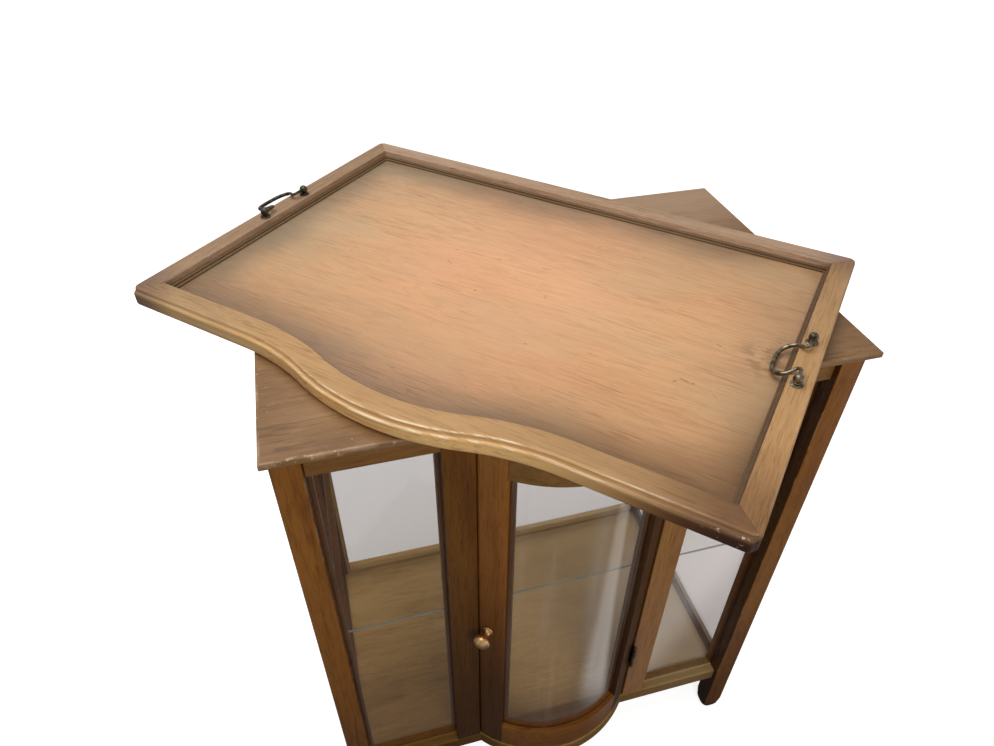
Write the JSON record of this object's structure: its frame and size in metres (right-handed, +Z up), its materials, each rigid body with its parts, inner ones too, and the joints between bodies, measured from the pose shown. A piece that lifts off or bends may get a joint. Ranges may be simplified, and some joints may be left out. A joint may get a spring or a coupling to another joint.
{
  "type": "bar cabinet",
  "caption": "Glazed bar cabinet on square legs with a bow-fronted hinged glass door, an inner glass shelf and a serpentine lift-off tray with bail handles laid askew on its top.",
  "frame": {"origin": "on the floor under the middle of the tray, which is the middle of the overall outline", "axes": "+X to the right along the front of the cabinet, +Y to its back, +Z up out of the tray"},
  "size_m": [0.8396, 0.8352, 0.857],
  "materials": {
    "top_wood": "worn satin varnish, taupe brown",
    "frame_wood": "satin varnish, dark golden brown",
    "base_wood": "satin varnish, golden brown",
    "rim_wood": "worn satin varnish, golden brown",
    "panel_wood": "satin varnish over pale veneer",
    "glass": "clear polished glass",
    "bronze": "dark patinated cast brass",
    "brass": "dull aged brass"
  },
  "bodies": {
    "cabinet": {"base_board": "base_wood", "bead_back": "frame_wood", "bead_front_left": "frame_wood", "bead_front_right": "frame_wood", "bead_left": "frame_wood", "bead_right": "frame_wood", "catch_strike": "brass", "glass_back": "glass", "glass_front_left": "glass", "glass_front_right": "glass", "glass_left": "glass", "glass_right": "glass", "hinge_lower_pin": "brass", "hinge_lower_post_leaf": "brass", "hinge_upper_pin": "brass", "hinge_upper_post_leaf": "brass", "leg_back_left": "frame_wood", "leg_back_right": "frame_wood", "leg_front_left": "frame_wood", "leg_front_right": "frame_wood", "post_left": "frame_wood", "post_right": "frame_wood", "shelf_cleat_left": "frame_wood", "shelf_cleat_right": "frame_wood", "shelf_glass": "glass", "top_board": "top_wood", "top_rail_back": "frame_wood", "top_rail_bow": "frame_wood", "top_rail_front_left": "frame_wood", "top_rail_front_right": "frame_wood", "top_rail_left": "frame_wood", "top_rail_right": "frame_wood"},
    "door": {"catch_ball": "brass", "door_bead": "frame_wood", "door_glass": "glass", "door_knob": "brass", "door_rail_bottom": "frame_wood", "door_rail_top": "frame_wood", "door_stile_left": "frame_wood", "door_stile_right": "frame_wood", "hinge_lower_door_leaf": "brass", "hinge_upper_door_leaf": "brass", "knob_screw": "brass"},
    "tray": {"handle_post_left_back": "bronze", "handle_post_left_front": "bronze", "handle_post_right_back": "bronze", "handle_post_right_front": "bronze", "tray_bead": "rim_wood", "tray_panel": "panel_wood", "tray_rail_back": "rim_wood", "tray_rail_front": "rim_wood", "tray_rail_left": "rim_wood", "tray_rail_right": "rim_wood"},
    "bail_left": {"bail_left": "bronze"},
    "bail_right": {"bail_right": "bronze"}
  },
  "joints": [
    {"name": "door_hinge", "type": "hinge", "parent": "cabinet", "child": "door", "pos_m": [0.1523, -0.2055, 0.45], "axis": [0, 0, 1], "range_deg": [0, 110]},
    {"name": "tray_lift", "type": "slide", "parent": "cabinet", "child": "tray", "axis": [0, 0, 1], "range_m": [0, 0.25]},
    {"name": "bail_left_hinge", "type": "hinge", "parent": "tray", "child": "bail_left", "pos_m": [-0.24259, 0.23608, 0.8518], "axis": [0.6974, 0.7167, 0], "range_deg": [0, 131]},
    {"name": "bail_right_hinge", "type": "hinge", "parent": "tray", "child": "bail_right", "pos_m": [0.24259, -0.23608, 0.8518], "axis": [0.6974, 0.7167, 0], "range_deg": [0, 131]}
  ]
}
